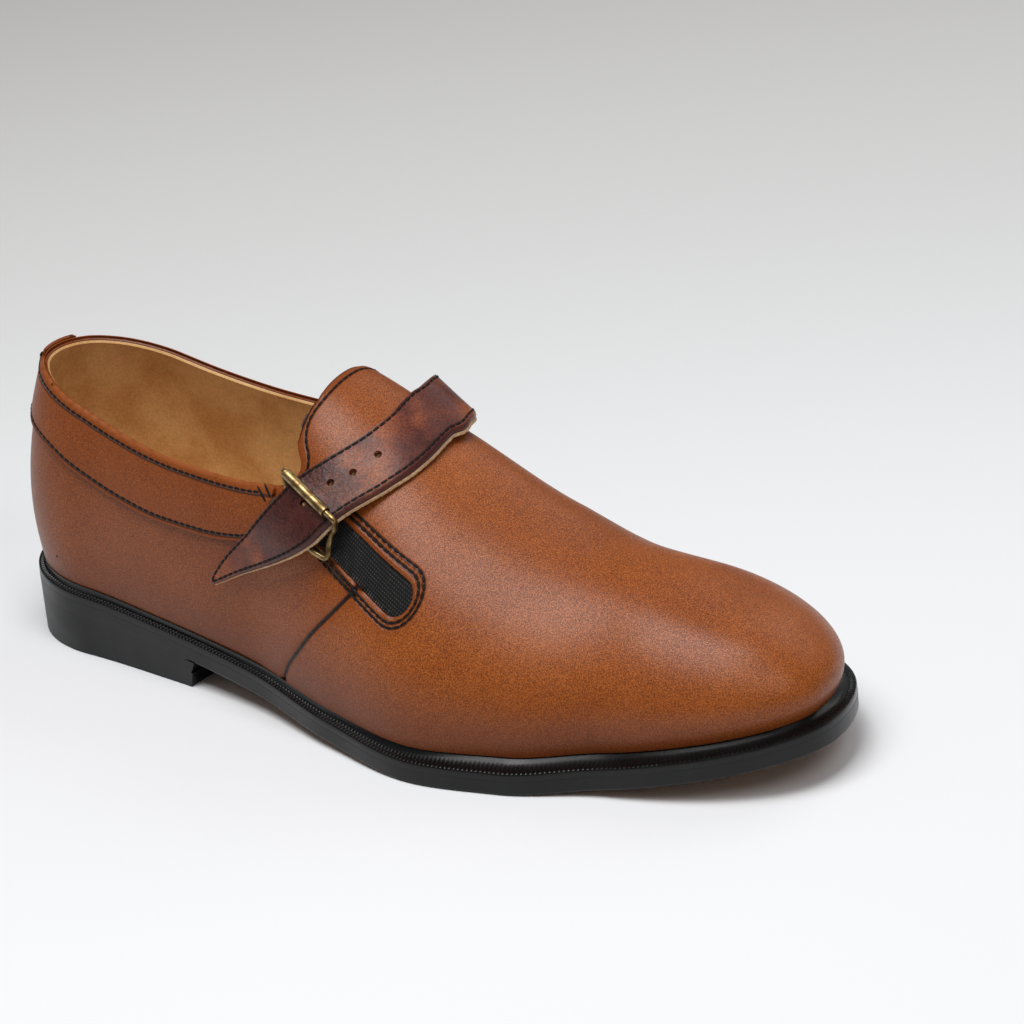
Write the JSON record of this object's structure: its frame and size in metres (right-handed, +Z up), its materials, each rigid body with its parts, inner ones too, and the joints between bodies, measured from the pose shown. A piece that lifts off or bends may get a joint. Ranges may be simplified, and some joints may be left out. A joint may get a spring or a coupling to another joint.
{
  "type": "monk strap loafer",
  "caption": "Low leather slip-on shoe, right foot: plain vamp with a tongue, elastic gores, a buckled strap over the instep, welted sole with a low heel.",
  "frame": {"origin": "on the floor, under the middle of the shoe's bounding box", "axes": "+X towards the toe, +Y towards the medial side, +Z up"},
  "size_m": [0.3016, 0.1104, 0.1014],
  "materials": {
    "upper": "satin, burnished brown grain",
    "strap": "satin, dark red brown",
    "lining": "matt tan",
    "elastic": "matt black rib",
    "welt": "waxed black",
    "sole": "waxed black edge, brown underside",
    "heel": "satin black",
    "brass": "antique"
  },
  "bodies": {
    "root": {"outsole": "sole", "welt": "welt", "heel_stack": "heel", "heel_top_piece": "heel", "insole": "lining", "upper": "upper", "gore_lateral": "elastic", "gore_medial": "elastic", "collar_band": "upper", "heel_strip": "upper", "strap": "strap", "chape": "strap", "buckle_frame": "brass", "buckle_roller": "brass", "buckle_prong": "brass"}
  },
  "joints": []
}
